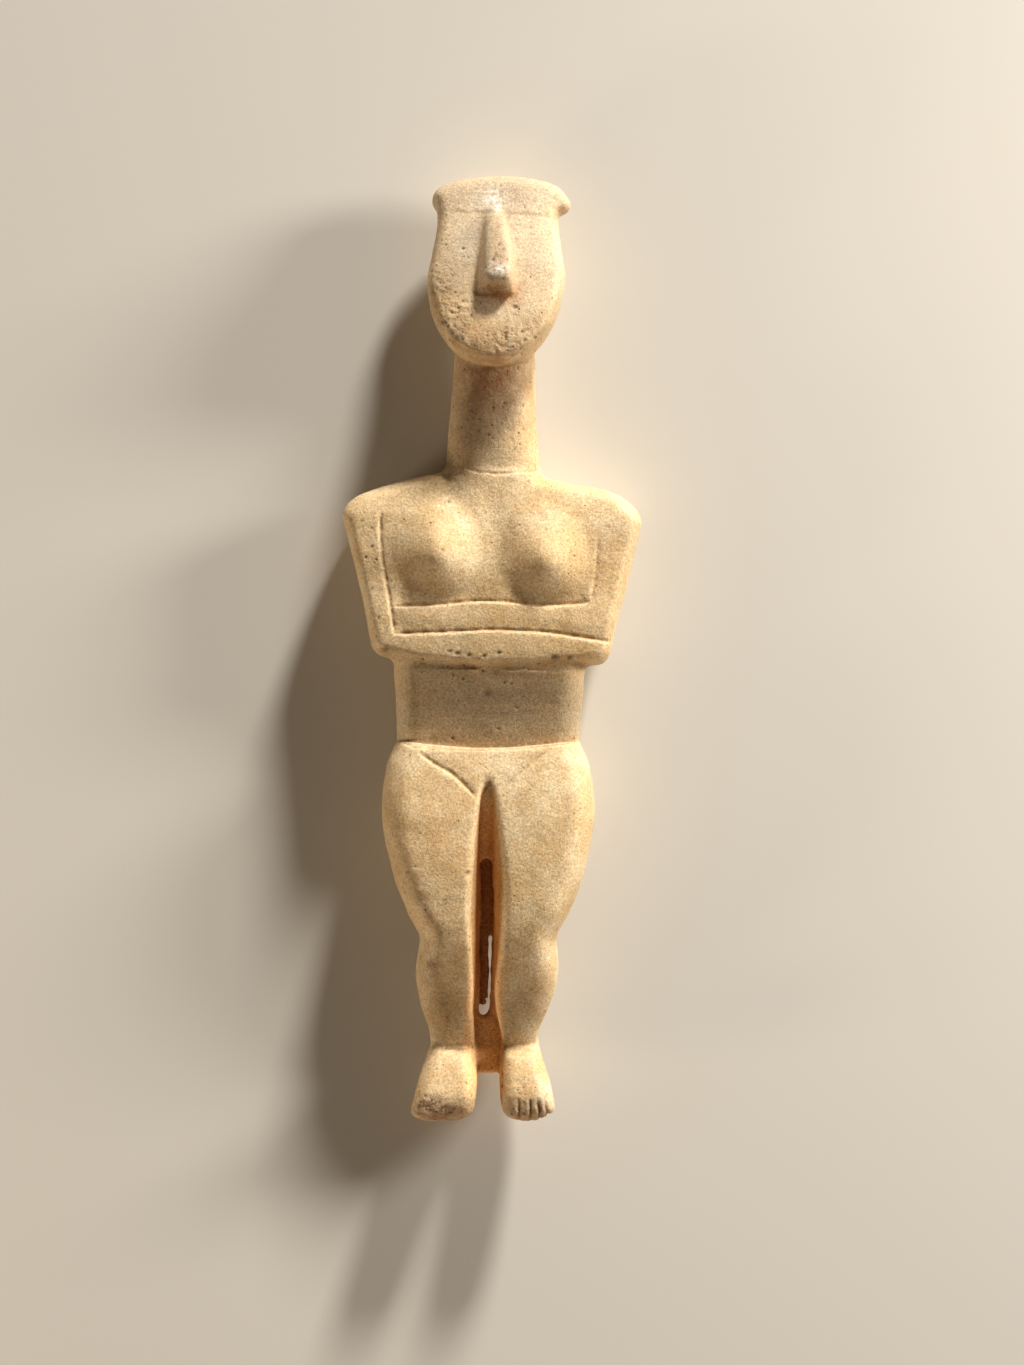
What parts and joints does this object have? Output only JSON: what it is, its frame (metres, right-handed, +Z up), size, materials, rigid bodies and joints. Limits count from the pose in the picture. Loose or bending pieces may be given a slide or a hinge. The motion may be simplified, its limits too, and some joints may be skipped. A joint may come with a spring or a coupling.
{
  "type": "cycladic figurine",
  "caption": "Marble folded-arm female figurine with a long neck, backswept face, incised arms and parted legs; it lies on its flat back.",
  "frame": {"origin": "under the middle of the figure's length and breadth, on the surface it lies on", "axes": "+Y from the toes to the crown, +Z up from the back to the front of the figure, +X to the figure's left hand"},
  "size_m": [0.1258, 0.3994, 0.0558],
  "materials": {
    "marble": "weathered cream marble, matt, finely pitted, with ochre deposits"
  },
  "bodies": {
    "root": {"figurine": "marble"}
  },
  "joints": []
}
